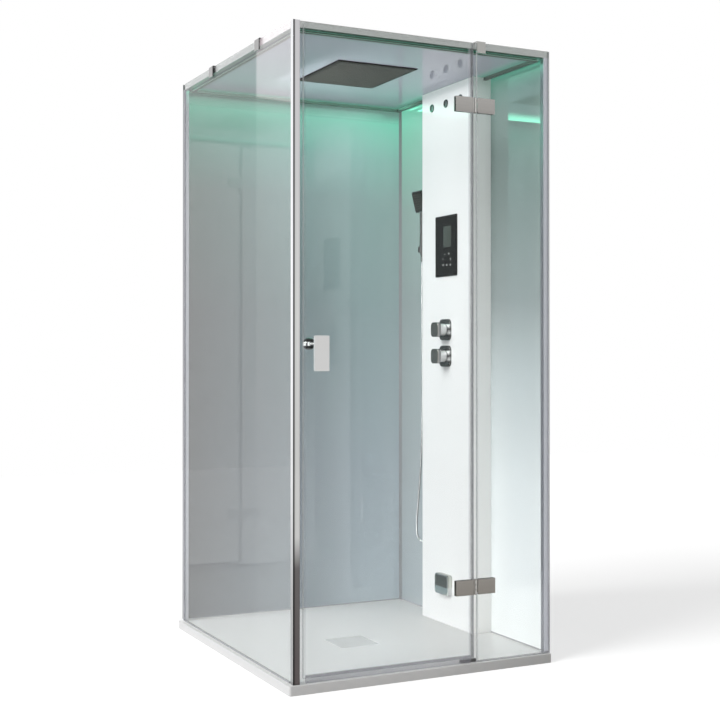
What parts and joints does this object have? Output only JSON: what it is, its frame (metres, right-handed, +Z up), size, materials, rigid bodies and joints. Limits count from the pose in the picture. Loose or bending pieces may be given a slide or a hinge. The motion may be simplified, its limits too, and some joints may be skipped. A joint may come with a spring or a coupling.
{
  "type": "steam shower cabin",
  "caption": "Corner steam shower cabin with a hinged glass door, glass panes, glossy wall panels, a control column, a rain head and a hand shower on a low tray.",
  "frame": {"origin": "middle of the tray's flat underside", "axes": "+Z up; -Y towards the door's side; the control column stands on the +X wall"},
  "size_m": [1.02, 1.1325, 2.1545],
  "materials": {
    "tray": "satin",
    "clear_glass": "polished",
    "wall_glass": "glossy, painted on the back",
    "frame_metal": "satin anodised",
    "rail_metal": "satin anodised",
    "hinge_metal": "brushed",
    "seal": "translucent",
    "magnet_seal": "satin",
    "chrome": "polished",
    "steel": "brushed",
    "column_paint": "gloss",
    "ceiling_paint": "gloss",
    "chassis_steel": "satin",
    "display_black": "gloss",
    "housing_black": "matt",
    "spot_metal": "satin",
    "lens": "frosted",
    "light_strip": "frosted",
    "brass": "cast",
    "pipe": "satin",
    "head_metal": "satin",
    "face_plastic": "matt",
    "hose": "metallised"
  },
  "bodies": {
    "cabin": {"shower_tray": "tray", "drain_flange": "steel", "drain_strainer": "steel", "front_left_post": "frame_metal", "back_left_profile": "frame_metal", "front_right_profile": "frame_metal", "inner_corner_strip": "frame_metal", "top_rail_front": "rail_metal", "top_rail_left": "rail_metal", "wall_top_rails": "rail_metal", "ceiling_panel": "ceiling_paint", "light_cornice": "housing_black", "light_strips": "light_strip", "back_wall_panel": "wall_glass", "right_wall_panel": "wall_glass", "side_glass": "clear_glass", "fixed_front_glass": "clear_glass", "sill_seals": "seal", "fixed_edge_seal": "seal", "post_magnet_seal": "magnet_seal", "glass_clamps": "hinge_metal", "door_stop": "housing_black", "fixed_hinge_leaves": "hinge_metal", "fixed_hinge_backs": "hinge_metal", "fixed_hinge_screws": "chrome", "hinge_pins": "steel", "column_shell": "column_paint", "column_chassis": "chassis_steel", "display_panel": "display_black", "display_housing": "housing_black", "spot_rings": "spot_metal", "spot_lenses": "lens", "mixer_rosettes": "chrome", "mixer_body": "brass", "water_inlets": "brass", "water_pipes": "pipe", "steam_generator": "steel", "steam_pipe": "pipe", "steam_outlet_cover": "chrome", "rain_head_housing": "head_metal", "rain_head_plate": "head_metal", "handset_holder": "chrome", "hose_union": "chrome", "shower_hose": "hose"},
    "door": {"door_glass": "clear_glass", "door_bottom_seal": "seal", "door_hinge_seal": "seal", "door_magnet_seal": "magnet_seal", "door_hinge_leaves": "hinge_metal", "door_hinge_backs": "hinge_metal", "door_hinge_screws": "chrome", "door_pull_plate": "chrome", "door_pull_stud": "chrome", "door_inner_knob": "chrome"},
    "diverter_knob": {"diverter_knob": "chrome"},
    "temperature_knob": {"temperature_knob": "chrome"},
    "safety_button": {"safety_button": "chrome"},
    "handset": {"handset_body": "chrome", "handset_face": "face_plastic"},
    "drain_cover": {"drain_cover": "chrome"}
  },
  "joints": [
    {"name": "door_hinge", "type": "hinge", "parent": "cabin", "child": "door", "pos_m": [0.194, -0.5415, 1], "axis": [0, 0, 1], "range_deg": [0, 90]},
    {"name": "diverter_turn", "type": "hinge", "parent": "cabin", "child": "diverter_knob", "pos_m": [0.38, 0.027, 1.1775], "axis": [1, 0, 0], "range_deg": [-90, 90]},
    {"name": "temperature_turn", "type": "hinge", "parent": "cabin", "child": "temperature_knob", "pos_m": [0.38, 0.027, 1.0745], "axis": [1, 0, 0], "range_deg": [-150, 60]},
    {"name": "safety_button_press", "type": "slide", "parent": "temperature_knob", "child": "safety_button", "axis": [0, 0, -1], "range_m": [0, 0.0025], "stiffness_N_per_m": 400, "springref_m": -0.001},
    {"name": "handset_lift", "type": "slide", "parent": "cabin", "child": "handset", "axis": [0, 0, 1], "range_m": [0, 0.04], "deforming": ["shower_hose"]},
    {"name": "drain_cover_lift", "type": "slide", "parent": "cabin", "child": "drain_cover", "axis": [0, 0, 1], "range_m": [0, 0.15]}
  ]
}
